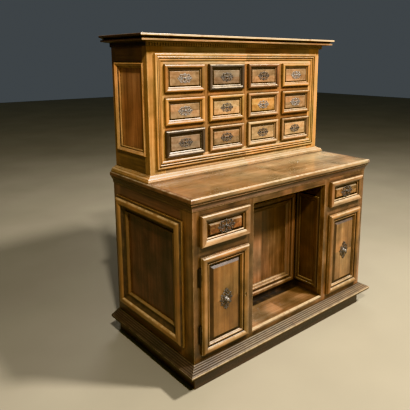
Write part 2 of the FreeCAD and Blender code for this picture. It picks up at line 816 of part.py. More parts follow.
def fixed_hinge(z):
    """The leaf on the post, its two knuckles, and the pin."""
    x, y = hinge_axis()
    zones = hinge_zones(z)
    low = z - hinge_height / 2
    high = z + hinge_height / 2
    face = lower_front_y
    front = face - hinge_leaf_thickness
    edge = x - hinge_barrel_radius - hinge_gap
    body = board(x - hinge_fixed_leaf_width, edge, front, face, low, high)
    for bottom, height in (zones[0], zones[2]):
        barrel, bore = knuckle(bottom, height)
        web = board(edge, x, front, face, bottom, bottom + height)
        body = body.fuse(web).fuse(barrel).cut(bore)
    pin = Part.makeCylinder(hinge_pin_radius, hinge_height, Vector(x, y, low))
    head = Part.makeCylinder(hinge_pin_head_radius, hinge_pin_head_height, Vector(x, y, high))
    return [body.removeSplitter(), pin.fuse(head).removeSplitter()]


def door_hinge(z):
    """The leaf on the door's edge with its middle knuckle."""
    x, y = hinge_axis()
    low, height = hinge_zones(z)[1]
    barrel, bore = knuckle(low, height)
    edge = opening_left + door_gap
    front = y - hinge_door_leaf_depth / 2
    leaf = board(edge - hinge_leaf_thickness, edge, front, y + hinge_barrel_radius, low, low + height)
    return [leaf.fuse(barrel).cut(bore).removeSplitter()]


def knob(x, z, face_y, radius, length):
    """A round pull: a ball on a short neck."""
    neck = Part.makeCylinder(radius * knob_neck_share, length - radius, Vector(x, face_y, z), forward)
    ball = Part.makeSphere(radius, Vector(x, face_y - length + radius, z))
    return neck.fuse(ball)


def pierced_mount(x, z, face_y, width, height, thickness, places_shares, centre_share):
    """A thin plate of overlapping rings in four-fold symmetry round a solid centre."""
    discs = [(x, z, centre_share * height)]
    holes = []
    for across, rise, size in places_shares:
        for sign_x in sorted({-1, 1} if across else {1}):
            for sign_z in sorted({-1, 1} if rise else {1}):
                cx = x + sign_x * across * width / 2
                cz = z + sign_z * rise * height / 2
                discs.append((cx, cz, size * min(width, height)))
                holes.append((cx, cz, size * min(width, height) * ring_hole_share))
    plates = [Part.makeCylinder(r, thickness, Vector(cx, face_y, cz), forward) for cx, cz, r in discs]
    plate = plates[0].fuse(plates[1:]).removeSplitter()
    cutters = [
        Part.makeCylinder(r, thickness + 2 * overrun, Vector(cx, face_y + overrun, cz), forward)
        for cx, cz, r in holes
    ]
    return plate.cut(cutters)


def small_drawer(column, row):
    """Front, moulding, raised field, sides, back and bottom of one small drawer."""
    x, z = opening_corner(column, row)
    x0 = x + small_side_gap
    x1 = x + opening_width - small_side_gap
    z0 = z + seat_gap
    z1 = z + opening_height - small_top_gap
    y0 = upper_front_y
    y1 = y0 + small_front_thickness
    y3 = back_y - upper_back_thickness - small_drawer_back_gap
    y2 = y3 - small_drawer_back_thickness
    inset = small_moulding_width + small_field_margin
    slab = board(x0, x1, y0, y1, z0, z1)
    field = fielded(x0 + inset, x1 - inset, z0 + inset, z1 - inset, y0, small_field_rise, small_field_bevel)
    lengths = picture_frame(
        small_moulding_shares, small_moulding_width, small_moulding_rise, Vector(x0, y0, z0),
        right, up, forward, x1 - x0, z1 - z0,
    )
    side = small_drawer_side_thickness
    top = z0 + small_drawer_wall_height
    floor_top = z0 + small_drawer_bottom_thickness
    walls = [
        board(x0, x0 + side, y1, y3, z0, top),
        board(x1 - side, x1, y1, y3, z0, top),
        board(x0 + side, x1 - side, y2, y3, z0, top),
        board(x0 + side, x1 - side, y1, y2, z0, floor_top),
    ]
    return [slab.fuse(field).removeSplitter()] + lengths + walls


def small_mount(column, row):
    """The pierced iron mount and its small knob."""
    x, z = opening_corner(column, row)
    x += opening_width / 2
    z += (opening_height + seat_gap - small_top_gap) / 2
    face_y = upper_front_y - small_field_rise
    plate = pierced_mount(
        x, z, face_y, small_mount_width, small_mount_height, small_mount_thickness,
        drawer_ring_places_shares, mount_centre_share,
    )
    return [plate.fuse(knob(x, z, face_y - small_mount_thickness, small_knob_radius, small_knob_length))]


def lower_drawer():
    """The left pedestal's drawer."""
    x0 = opening_left + lower_drawer_side_gap
    x1 = opening_right - lower_drawer_side_gap
    z0 = lower_drawer_bottom_z
    z1 = z0 + lower_drawer_height
    y0 = lower_front_y
    y1 = y0 + lower_drawer_front_thickness
    y3 = inner_back_y - lower_drawer_back_gap
    y2 = y3 - lower_drawer_back_thickness
    inset = big_moulding_width + big_field_margin
    slab = board(x0, x1, y0, y1, z0, z1)
    field = fielded(x0 + inset, x1 - inset, z0 + inset, z1 - inset, y0, big_field_rise, big_field_bevel)
    lengths = picture_frame(
        big_moulding_shares, big_moulding_width, big_moulding_rise, Vector(x0, y0, z0), right, up, forward,
        x1 - x0, z1 - z0,
    )
    side = lower_drawer_side_thickness
    top = z0 + lower_drawer_wall_height
    floor_top = z0 + lower_drawer_bottom_thickness
    walls = [
        board(x0, x0 + side, y1, y3, z0, top),
        board(x1 - side, x1, y1, y3, z0, top),
        board(x0 + side, x1 - side, y2, y3, z0, top),
        board(x0 + side, x1 - side, y1, y2, z0, floor_top),
    ]
    return [slab.fuse(field).removeSplitter()] + lengths + walls


def large_mount():
    """The pierced mount and knob of the left pedestal's drawer."""
    x = (opening_left + opening_right) / 2
    z = lower_drawer_bottom_z + lower_drawer_height / 2
    height = lower_drawer_height - 2 * (big_moulding_width + large_mount_margin)
    face_y = lower_front_y - big_field_rise
    plate = pierced_mount(
        x, z, face_y, large_mount_width, height, large_mount_thickness,
        drawer_ring_places_shares, mount_centre_share,
    )
    return [plate.fuse(knob(x, z, face_y - large_mount_thickness, large_knob_radius, large_knob_length))]


def door_rosette():
    """The pierced rosette and knob of the left door."""
    x = (opening_left + door_gap + opening_right - door_lock_gap) / 2
    face_y = lower_front_y - door_field_rise
    plate = pierced_mount(
        x, door_middle_z, face_y, rosette_width, rosette_height, rosette_thickness,
        rosette_ring_places_shares, rosette_centre_share,
    )
    pull = knob(x, door_middle_z, face_y - rosette_thickness, door_knob_radius, door_knob_length)
    return [plate.fuse(pull)]


save("plinth", plinth())
save("base_moulding", case_moulding(
    base_moulding_shares(), base_overhang, base_moulding_height, lower_half_width, lower_front_y,
    plinth_height,
))
save("lower_bottom_board", lower_bottom())
save("lower_front_frame", lower_posts_and_rails())
save("lower_side_frames", lower_side_frames())
save("lower_side_panels", lower_side_panels())
save("lower_side_mouldings", lower_side_mouldings())
save("lower_back_boards", lower_back())
save("kneehole_lining", kneehole_lining())
save("kneehole_mouldings", kneehole_mouldings())
save("pedestal_runners", pedestal_runners())
save("under_top_moulding", case_moulding(
    under_top_shares, under_top_projection, under_top_height, lower_half_width, lower_front_y,
    table_under_z - under_top_height,
))
save("table_top", table_top())
save("upper_base_moulding", case_moulding(
    upper_base_shares, upper_base_projection, upper_base_height, upper_half_width, upper_front_y,
    table_top_height,
))
save("upper_front_frame", upper_front_frame())
save("upper_side_frames", upper_side_frames())
save("upper_side_panels", upper_side_panels())
save("upper_side_mouldings", upper_side_mouldings())
save("upper_back_boards", upper_back())
save("upper_inner_boards", upper_inner_boards())
save("bank_moulding", bank_moulding())
save("cornice", cornice())
save("dentil_strip", dentil_strip())

post_hinges = fixed_hinge(upper_hinge_z) + fixed_hinge(lower_hinge_z)
save("post_hinges", both(post_hinges))

door_frame, door_panel = door_pieces()
door_hinges = door_hinge(upper_hinge_z) + door_hinge(lower_hinge_z)
left_pieces = {
    "door_frame": door_frame, "door_panel": door_panel, "door_rosette": door_rosette(),
    "door_hinges": door_hinges, "lower_drawer": lower_drawer(), "lower_drawer_mount": large_mount(),
}
for name, pieces in left_pieces.items():
    save("left_" + name, pieces)
    save("right_" + name, [mirrored(piece) for piece in pieces])

for row in range(bank_rows):
    for column in range(bank_columns):
        label = "row" + str(row + 1) + "_column" + str(column + 1)
        save("drawer_" + label, small_drawer(column, row))
        save("mount_" + label, small_mount(column, row))
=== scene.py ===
"""Looks of the two-part walnut cabinet: the woods, the ironwork, the floor, the lights and the camera.

Lengths are metres in the cabinet's own frame: X to the right, Y to the back, Z up, the floor at 0.
"""

import math
from typing import Any, NamedTuple
import bmesh
import bpy
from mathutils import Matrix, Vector


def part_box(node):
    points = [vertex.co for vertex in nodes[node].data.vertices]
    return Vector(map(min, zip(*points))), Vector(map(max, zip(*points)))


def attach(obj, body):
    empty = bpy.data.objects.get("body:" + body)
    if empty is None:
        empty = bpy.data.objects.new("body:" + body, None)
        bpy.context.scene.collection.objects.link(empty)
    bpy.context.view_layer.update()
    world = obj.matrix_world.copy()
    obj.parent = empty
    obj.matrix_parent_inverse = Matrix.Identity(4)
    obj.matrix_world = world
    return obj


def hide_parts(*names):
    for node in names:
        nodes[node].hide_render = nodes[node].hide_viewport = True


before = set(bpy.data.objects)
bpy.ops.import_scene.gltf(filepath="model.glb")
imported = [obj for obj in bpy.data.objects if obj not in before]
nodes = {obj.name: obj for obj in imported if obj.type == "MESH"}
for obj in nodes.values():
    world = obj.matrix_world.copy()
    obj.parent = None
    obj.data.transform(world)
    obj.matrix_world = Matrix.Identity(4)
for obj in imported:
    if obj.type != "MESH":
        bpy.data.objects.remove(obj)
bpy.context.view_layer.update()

# Colours of waxed walnut from its dark streaks to its pale ones
GOLDEN = ((0.12, 0.052, 0.016), (0.29, 0.143, 0.048), (0.415, 0.219, 0.077), (0.57, 0.34, 0.13))
AMBER = ((0.2, 0.088, 0.03), (0.44, 0.22, 0.085), (0.6, 0.33, 0.14), (0.74, 0.48, 0.24))
HONEY = ((0.079, 0.032, 0.012), (0.188, 0.091, 0.034), (0.273, 0.14, 0.053), (0.376, 0.212, 0.09))
CHESTNUT = ((0.046, 0.019, 0.006), (0.11, 0.051, 0.017), (0.16, 0.079, 0.027), (0.222, 0.122, 0.047))
UMBER = ((0.029, 0.012, 0.005), (0.09, 0.044, 0.018), (0.144, 0.073, 0.03), (0.226, 0.125, 0.055))
PALE = ((0.145, 0.077, 0.033), (0.29, 0.168, 0.079), (0.41, 0.257, 0.13), (0.54, 0.372, 0.206))
BROWN = ((0.036, 0.016, 0.008), (0.11, 0.052, 0.025), (0.175, 0.088, 0.045), (0.28, 0.155, 0.08))
RUSSET = ((0.03, 0.009, 0.004), (0.12, 0.042, 0.015), (0.24, 0.095, 0.034), (0.36, 0.17, 0.065))
REDDISH = ((0.11, 0.044, 0.02), (0.264, 0.119, 0.055), (0.418, 0.198, 0.094), (0.55, 0.297, 0.143))
SIDE = ((0.025, 0.011, 0.007), (0.07, 0.034, 0.021), (0.124, 0.064, 0.039), (0.205, 0.116, 0.07))
DEEP = ((0.01, 0.005, 0.003), (0.032, 0.015, 0.01), (0.06, 0.028, 0.019), (0.115, 0.058, 0.038))
BLACKENED = ((0.014, 0.01, 0.007), (0.04, 0.029, 0.021), (0.08, 0.06, 0.045), (0.16, 0.125, 0.095))
BLEACHED = ((0.085, 0.042, 0.02), (0.195, 0.108, 0.054), (0.272, 0.161, 0.085), (0.375, 0.246, 0.143))
TAWNY = ((0.064, 0.03, 0.014), (0.176, 0.093, 0.043), (0.266, 0.15, 0.073), (0.384, 0.238, 0.126))
FADED = ((0.078, 0.046, 0.026), (0.148, 0.092, 0.055), (0.21, 0.138, 0.086), (0.29, 0.2, 0.13))
TOP = ((0.097, 0.046, 0.017), (0.184, 0.095, 0.04), (0.247, 0.139, 0.061), (0.349, 0.213, 0.107))
BASE = ((0.03, 0.0165, 0.0075), (0.063, 0.037, 0.016), (0.098, 0.062, 0.03), (0.174, 0.12, 0.061))
SHADED = ((0.017, 0.011, 0.008), (0.045, 0.031, 0.022), (0.078, 0.056, 0.04), (0.16, 0.125, 0.09))
SCUFFED = ((0.055, 0.026, 0.012), (0.13, 0.068, 0.033), (0.2, 0.114, 0.059), (0.3, 0.194, 0.11))
PLAIN = ((0.16, 0.085, 0.04), (0.27, 0.16, 0.08), (0.37, 0.235, 0.125), (0.46, 0.31, 0.18))

# Wood rubbed bare of its wax, a warm and a pale one, also the colours of painted highlights on edges and
# upward slopes, and the near-black of dirt and of painted shade in corners, grooves and under ledges
WARM_WEAR_AND_HIGHLIGHT = (0.64, 0.42, 0.2, 1)
PALE_WEAR_AND_HIGHLIGHT = (0.62, 0.46, 0.27, 1)
GRIME_AND_SHADE = (0.008, 0.005, 0.003, 1)

# Shares of the figure at which the four tones of a wood lie, and what its rings, streaks and hairs give
TONE_STOPS = (0.34, 0.46, 0.55, 0.68)
RING_SHARE, STREAK_SHARE, HAIR_SHARE = 0.5, 0.34, 0.16

# How far the figure moves from one board, side or way of the grain to the next
BOARD_STEP, SIDE_STEP, TURN_STEP = 3.7, 1.9, 8.3

# Iron from its hollows to its high points, and where it is rubbed, rusted or black
IRON_TONES = [(0.3, (0.03, 0.022, 0.016)), (0.55, (0.1, 0.083, 0.068)), (0.75, (0.2, 0.165, 0.13))]
RUBBED_IRON = (0.52, 0.47, 0.41, 1)
RUSTED_IRON = (0.01, 0.007, 0.005, 1)
BLACK_IRON = (0.008, 0.006, 0.005, 1)

# The plain floor of the room
FLOOR_TONES = [(0.35, (0.265, 0.23, 0.163)), (0.65, (0.3, 0.26, 0.185))]

# A tint that changes nothing
CLEAR = (1, 1, 1)

# How much painted shade, with some dirt, a groove gets, and how wide its soft border is
FULL_SHADE_AND_DIRT = 0.93
HEAVY_SHADE_AND_DIRT = 0.8
MEDIUM_SHADE_AND_DIRT = 0.75
LIGHT_SHADE_AND_DIRT = 0.55
GROOVE_BORDER = 0.0015

# Widths of the mitred mouldings, from the outer edge inward
LOWER_SIDE_WIDTH = 0.078
UPPER_SIDE_WIDTH = 0.024
BANK_WIDTH = 0.034
SMALL_DRAWER_WIDTH = 0.023
LARGE_DRAWER_WIDTH = 0.034
DOOR_WIDTH = 0.044

# Their grooves: the depths inside the outer edge where each starts and ends, and its painted shade and dirt
LOWER_SIDE_GROOVES = [(0.0048, 0.0072, FULL_SHADE_AND_DIRT), (0.044, 0.064, FULL_SHADE_AND_DIRT), (0.064, LOWER_SIDE_WIDTH, LIGHT_SHADE_AND_DIRT)]
UPPER_SIDE_GROOVES = [(0.0165, 0.0195, FULL_SHADE_AND_DIRT)]
BANK_GROOVES = [(0.0095, 0.012, FULL_SHADE_AND_DIRT), (0.02, 0.023, FULL_SHADE_AND_DIRT)]
SMALL_DRAWER_GROOVES = [(0.017, 0.0192, FULL_SHADE_AND_DIRT)]
LARGE_DRAWER_GROOVES = [(0.0265, 0.0285, FULL_SHADE_AND_DIRT)]
DOOR_GROOVES = [(0.0288, 0.0334, FULL_SHADE_AND_DIRT)]
DOOR_PANEL_GROOVES = [(0.04, 0.0508, FULL_SHADE_AND_DIRT), (0.0508, 0.0625, HEAVY_SHADE_AND_DIRT)]

# The reeded slope of the base moulding
BASE_OVERHANG = 0.048
BASE_FILLET = 0.0016
BASE_REEDS = 5
VALLEY_HALF_WIDTH = 0.0005

# Thicknesses of boards
PEDESTAL_WALL = 0.02
KNEEHOLE_FLOOR_BOARD = 0.012
SMALL_FRONT = 0.016
LARGE_FRONT = 0.022

# How far back a pale front edge reaches, partly abrasion and partly a painted highlight, and how far in the
# end grain of the table top does
PALE_EDGE = 0.004
END_GRAIN = 0.016

# Farther out than any part of the cabinet
BEYOND = 1.0

# Sockets of the Mix node for colours, whose names are not its own alone
MIX_FACTOR, MIX_FIRST, MIX_SECOND, MIX_RESULT = 0, 6, 7, 2

AXES = {"x": (1, 0, 0), "y": (0, 1, 0), "z": (0, 0, 1)}


def even(value):
    """A tint that darkens or brightens all three colours alike."""
    return (value, value, value)


class Tree:
    """Adds shader nodes to one material, with their settings and inputs in one call."""

    def __init__(self, name):
        self.material = bpy.data.materials.new(name)
        self.material.use_nodes = True
        self.tree = self.material.node_tree
        self.tree.nodes.clear()

    def fill(self, socket, value):
        """Links the value to the socket if it comes from a node, and else sets it there."""
        if isinstance(value, bpy.types.NodeSocket):
            self.tree.links.new(value, socket)
        else:
            socket.default_value = value

    def node(self, kind, settings=None, **inputs):
        """A node with its settings, and its inputs by their names with _ for a space."""
        made = self.tree.nodes.new("ShaderNode" + kind)
        for name, value in (settings or {}).items():
            setattr(made, name, value)
        for name, value in inputs.items():
            self.fill(made.inputs[name.replace("_", " ")], value)
        return made

    def math(self, operation, *values):
        made = self.node("Math", {"operation": operation})
        for socket, value in zip(made.inputs, values):
            self.fill(socket, value)
        return made.outputs[0]

    def add(self, first, second):
        return self.math("ADD", first, second)

    def times(self, first, second):
        return self.math("MULTIPLY", first, second)

    def vector(self, operation, *values):
        """A vector from other vectors, or a number where the operation is the dot product."""
        made = self.node("VectorMath", {"operation": operation})
        for socket, value in zip(made.inputs, values):
            self.fill(socket, value)
        return made.outputs["Value" if operation == "DOT_PRODUCT" else "Vector"]

    def scaled(self, vector, factor):
        return self.node("VectorMath", {"operation": "SCALE"}, Vector=vector, Scale=factor).outputs[0]

    def grey(self, value):
        """A colour with the value in all three channels."""
        return self.node("CombineXYZ", X=value, Y=value, Z=value).outputs[0]

    def mix(self, factor, first, second, blend="MIX"):
        """The first colour where the factor is 0, the second where it is 1."""
        made = self.node("Mix", {"data_type": "RGBA", "blend_type": blend, "clamp_factor": True})
        for index, value in ((MIX_FACTOR, factor), (MIX_FIRST, first), (MIX_SECOND, second)):
            self.fill(made.inputs[index], value)
        return made.outputs[MIX_RESULT]

    def tinted(self, colour, tint):
        """The colour times the tint."""
        return self.mix(1.0, colour, tint, "MULTIPLY")

    def range(self, value, low, high, to_low=0.0, to_high=1.0):
        """The value carried from one span to another and held at its ends; low may be over high."""
        made = self.node("MapRange", {"clamp": True}, Value=value, From_Min=low, From_Max=high)
        made.inputs["To Min"].default_value = to_low
        made.inputs["To Max"].default_value = to_high
        return made.outputs[0]

    def ramp(self, factor, stops):
        """A colour ramp through (place, colour) stops."""
        made = self.node("ValToRGB", Fac=factor)
        elements = made.color_ramp.elements
        while len(elements) < len(stops):
            elements.new(0.5)
        for element, (place, colour) in zip(elements, stops):
            element.position = place
            element.color = (*colour, 1)
        return made.outputs[0]

    def noise(self, vector, scale, detail=3.0, roughness=0.5, distortion=0.0):
        return self.node(
            "TexNoise", Vector=vector, Scale=scale, Detail=detail, Roughness=roughness, Distortion=distortion,
        ).outputs["Fac"]

    def finish(self, shader):
        """The material, with the shader as its surface."""
        self.node("OutputMaterial", Surface=shader.outputs[0])
        return self.material


class Place:
    """Where a point of the wood is, for the rules that say which way the grain runs there."""

    def __init__(self, tree):
        self.tree = tree
        self.object = tree.node("TexCoord").outputs["Object"]
        self.x, self.y, self.z = tree.node("SeparateXYZ", Vector=self.object).outputs
        self.across = tree.math("ABSOLUTE", self.x)


class Run(NamedTuple):
    """What a rule says of a place: the grain runs along axis first, or along second where turn is 1.

    board tells one board from the next, field is 1 in the inner field, which may have other tones, and
    inset is the depth inside the outer edge of a ring.
    """

    first: str
    second: str
    turn: Any = 0.0
    board: Any = 0.0
    field: Any = 0.0
    inset: Any = 0.0


def one_way(axis):
    """Boards that all run along one axis."""
    def rule(place):
        return Run(axis, axis)

    return rule


def ended(end):
    """A level board whose ends, from x = end outward, are the field."""
    def rule(place):
        return Run("x", "x", field=place.tree.math("GREATER_THAN", place.across, end))

    return rule


def mitred(flat, low, high, width, upright_field=False):
    """Four mitred lengths round a rectangle that lies across axis flat, and level or upright grain inside."""
    def rule(place):
        tree = place.tree
        level = "x" if flat == "y" else "y"
        index = "xyz".index(level)
        side = tree.math("SUBTRACT", getattr(place, level), (low[index] + high[index]) / 2)
        rise = tree.math("SUBTRACT", place.z, (low.z + high.z) / 2)
        from_side = tree.math("SUBTRACT", (high[index] - low[index]) / 2, tree.math("ABSOLUTE", side))
        from_end = tree.math("SUBTRACT", (high.z - low.z) / 2, tree.math("ABSOLUTE", rise))
        upright = tree.math("LESS_THAN", from_side, tree.math("MINIMUM", from_end, width))
        far = tree.math("GREATER_THAN", tree.times(side, upright), 0.0)
        above = tree.math("GREATER_THAN", tree.times(rise, tree.math("SUBTRACT", 1.0, upright)), 0.0)
        inset = tree.math("MINIMUM", from_side, from_end)
        field = tree.math("GREATER_THAN", inset, width)
        length = tree.add(far, tree.times(above, 2.0))
        if upright_field:
            upright = tree.math("MAXIMUM", upright, field)
        board = tree.add(length, tree.times(field, 5.0))
        return Run(level, "z", turn=upright, board=board, field=field, inset=inset)

    return rule


def wrapped(low, high):
    """A front length and two returns, mitred at the front corners, under a top that runs like the front."""
    def rule(place):
        tree = place.tree
        from_front = tree.math("SUBTRACT", place.y, low.y)
        from_end = tree.math("SUBTRACT", high.x, place.across)
        back = tree.math("GREATER_THAN", from_front, from_end)
        back = tree.times(back, tree.math("LESS_THAN", place.z, high.z - 0.001))
        inset = tree.math("MINIMUM", from_front, from_end)
        board = tree.math("GREATER_THAN", place.x, 0.0)
        return Run("x", "y", turn=back, board=board, field=back, inset=inset)

    return rule


def framed(level, spans):
    """Uprights within the spans of a level axis, and rails along it between them, which are the field."""
    def rule(place):
        tree = place.tree
        reach = place.across if level == "x" else place.y
        upright = 0.0
        board = 0.0
        for number, (start, end) in enumerate(spans):
            inside = tree.times(
                tree.math("GREATER_THAN", reach, start), tree.math("LESS_THAN", reach, end),
            )
            upright = tree.add(upright, inside)
            board = tree.add(board, tree.times(inside, number + 1.0))
        rails = tree.math("LESS_THAN", upright, 0.5)
        return Run(level, "z", turn=upright, board=board, field=rails)

    return rule


def lined(floor, back):
    """Upright boards over a floor board that is the field, with a wall behind the depth of back."""
    def rule(place):
        tree = place.tree
        low = tree.math("LESS_THAN", place.z, floor)
        behind = tree.math("GREATER_THAN", place.y, back)
        board = tree.add(behind, tree.times(low, 2.0))
        return Run("z", "x", turn=low, board=board, field=low)

    return rule


class Grain:
    """The board a point of the wood is on, the way its grain runs there, and the figure it has."""

    def __init__(self, tree, rule, seed):
        self.tree = tree
        self.place = place = Place(tree)
        run = rule(place)
        self.field, self.inset = run.field, run.inset
        side = tree.math("GREATER_THAN", place.x, 0.0)
        self.axis = tree.mix(run.turn, (*AXES[run.first], 1), (*AXES[run.second], 1))
        number = tree.add(tree.times(run.board, BOARD_STEP), tree.times(side, SIDE_STEP))
        self.number = number = tree.add(tree.add(number, tree.times(run.turn, TURN_STEP)), seed)
        shift = tree.node("CombineXYZ", X=number, Y=tree.times(number, 1.7), Z=number).outputs[0]
        self.on_board = tree.vector("ADD", place.object, shift)
        self.along = tree.vector("DOT_PRODUCT", self.on_board, self.axis)

    def stretched(self, squeeze):
        """The point with its way along the grain made shorter, so that a noise there is drawn out."""
        tree = self.tree
        return tree.vector("ADD", self.on_board, tree.scaled(self.axis, tree.times(self.along, squeeze - 1)))

    def draw(self, figure, burl):
        """Broad rings, streaks and hairs along the grain, with curls in the field where there is burl."""
        tree = self.tree
        rings = tree.noise(self.stretched(0.08), figure, detail=4.0, roughness=0.55, distortion=0.7)
        streaks = tree.noise(self.stretched(0.025), figure * 9, detail=4.0, roughness=0.62, distortion=0.15)
        hairs = tree.noise(self.stretched(0.02), figure * 40, detail=2.0, roughness=0.6)
        drawn = tree.add(tree.times(rings, RING_SHARE), tree.times(streaks, STREAK_SHARE))
        drawn = tree.add(drawn, tree.times(hairs, HAIR_SHARE))
        if burl:
            curls = tree.noise(self.on_board, 26.0, detail=5.0, roughness=0.62, distortion=1.8)
            drawn = tree.mix(tree.times(self.field, burl), tree.grey(drawn), tree.grey(curls))
        self.figure = drawn
        self.streaks = streaks
        self.blotch = tree.noise(self.on_board, 9.0, roughness=0.55)
        self.pore = tree.range(tree.noise(self.stretched(0.04), 900.0, detail=2.0), 0.6, 0.72)

    def toned(self, tones):
        """The figure in four tones, from its dark streaks to its pale ones."""
        return self.tree.ramp(self.figure, list(zip(TONE_STOPS, tones)))

    def colour(self, tones, inner, mottle):
        """The waxed wood: its tones, blotches, warmer and cooler parts, lighter boards and dark pores."""
        tree = self.tree
        colour = self.toned(tones)
        if inner:
            colour = tree.mix(self.field, colour, self.toned(inner))
        blotches = tree.range(self.blotch, 0.32, 0.68, to_low=1 - mottle, to_high=1 + 0.5 * mottle)
        colour = tree.tinted(colour, tree.grey(blotches))
        warmth = tree.range(tree.noise(self.on_board, 4.5, detail=2.0), 0.35, 0.65)
        colour = tree.tinted(colour, tree.mix(warmth, (0.94, 1.02, 1.0, 1), (1.1, 0.96, 0.84, 1)))
        board_tone = tree.node("TexWhiteNoise", {"noise_dimensions": "1D"}, W=self.number).outputs["Value"]
        board_tone = tree.range(board_tone, 0.0, 1.0, to_low=0.84, to_high=1.14)
        colour = tree.tinted(colour, tree.grey(board_tone))
        dark = tones[0]
        return tree.mix(tree.times(self.pore, 0.4), colour, (*dark, 1))


class Surface:
    """The shape round a point of the wood: its edges, its slope, and how much open air it has."""

    def __init__(self, tree, grain):
        self.tree = tree
        self.grain = grain
        self.rounded = tree.node("Bevel", {"samples": 4}, Radius=0.001).outputs[0]
        wide_round = tree.node("Bevel", {"samples": 6}, Radius=0.003).outputs[0]
        flat = tree.node("NewGeometry").outputs["Normal"]
        self.up = tree.node("SeparateXYZ", Vector=flat).outputs["Z"]
        self.edge = tree.math("SUBTRACT", 1.0, tree.vector("DOT_PRODUCT", wide_round, flat))
        self.patchiness = tree.noise(grain.place.object, 26.0, detail=5.0, roughness=0.7)
        self.near = tree.node("AmbientOcclusion", {"samples": 6}, Distance=0.007).outputs["AO"]
        self.far = tree.node("AmbientOcclusion", {"samples": 6}, Distance=0.05).outputs["AO"]

    def wear_and_highlight(self, slope_highlight, softer_field, lip):
        """How pale the wood is made: edges abraded bare and partly painted as highlights, upward-sloping
        faces given a painted highlight, in patches, and along the lip, partly abraded and partly a painted
        highlight.
        """
        tree, place, patchiness = self.tree, self.grain.place, self.patchiness
        open_air = tree.range(self.near, 0.6, 0.85)
        # Painted highlight: faces that slope upward toward the lamps are paled
        slope = tree.times(tree.range(self.up, 0.2, 0.55), tree.range(self.up, 0.97, 0.9))
        wear_and_highlight = tree.math("MAXIMUM", tree.range(self.edge, 0.02, 0.14), tree.times(slope, slope_highlight))
        wear_and_highlight = tree.times(wear_and_highlight, tree.range(patchiness, 0.4, 0.6, to_low=0.3))
        wear_and_highlight = tree.times(wear_and_highlight, open_air)
        if softer_field:
            wear_and_highlight = tree.times(wear_and_highlight, tree.range(self.grain.field, 0.0, 1.0, to_low=1.0, to_high=0.5))
        # A pale lip along an edge, partly abrasion and partly a painted highlight
        if lip:
            before, over = lip
            fore = tree.range(place.y, before, before - 0.003)
            fore = tree.times(fore, tree.range(place.z, over - 0.001, over))
            fore = tree.times(fore, tree.range(patchiness, 0.35, 0.5, to_low=0.35, to_high=0.9))
            wear_and_highlight = tree.math("MAXIMUM", wear_and_highlight, fore)
        return wear_and_highlight

    def shade_and_dirt(self, grooves, recess_shadow):
        """How dark the wood is made: painted shade in corners, under ledges and on downward faces, painted
        shade with some soil in the grooves, and a painted shadow deep in a recess.
        """
        tree, place, inset = self.tree, self.grain.place, self.grain.inset
        # Painted shade in corners and close to other parts, by ambient occlusion near and far, and on faces
        # that look downward
        shade_and_dirt = tree.range(self.near, 0.86, 0.5)
        shade_and_dirt = tree.math("MAXIMUM", shade_and_dirt, tree.range(self.far, 0.82, 0.3, to_high=0.9))
        shade_and_dirt = tree.math("MAXIMUM", shade_and_dirt, tree.range(self.up, -0.05, -0.6, to_high=0.8))
        # Painted shade, with some dirt, along the grooves of a ring
        for start, end, amount in grooves:
            groove = tree.range(inset, start - GROOVE_BORDER, start)
            groove = tree.times(groove, tree.range(inset, end + GROOVE_BORDER, end))
            shade_and_dirt = tree.math("MAXIMUM", shade_and_dirt, tree.times(groove, amount))
        # A painted shadow deep in a recess
        if recess_shadow:
            behind, under = recess_shadow
            in_shadow = tree.range(place.y, behind - 0.006, behind)
            in_shadow = tree.times(in_shadow, tree.range(place.z, under, under - 0.003))
            shade_and_dirt = tree.math("MAXIMUM", shade_and_dirt, in_shadow)
        return tree.times(shade_and_dirt, tree.range(self.patchiness, 0.3, 0.55, to_low=0.75))

    def bump(self):
        """Fine streaks, sunk pores and the waves of hand-planed wood, as a normal."""
        tree, grain = self.tree, self.grain
        height = tree.math("SUBTRACT", tree.times(grain.streaks, 0.3), tree.times(grain.pore, 0.5))
        height = tree.add(height, tree.times(tree.noise(grain.place.object, 40.0), 1.2))
        bump = tree.node("Bump", Height=height, Normal=self.rounded)
        bump.inputs["Strength"].default_value = 0.4
        bump.inputs["Distance"].default_value = 0.0012
        return bump.outputs[0]


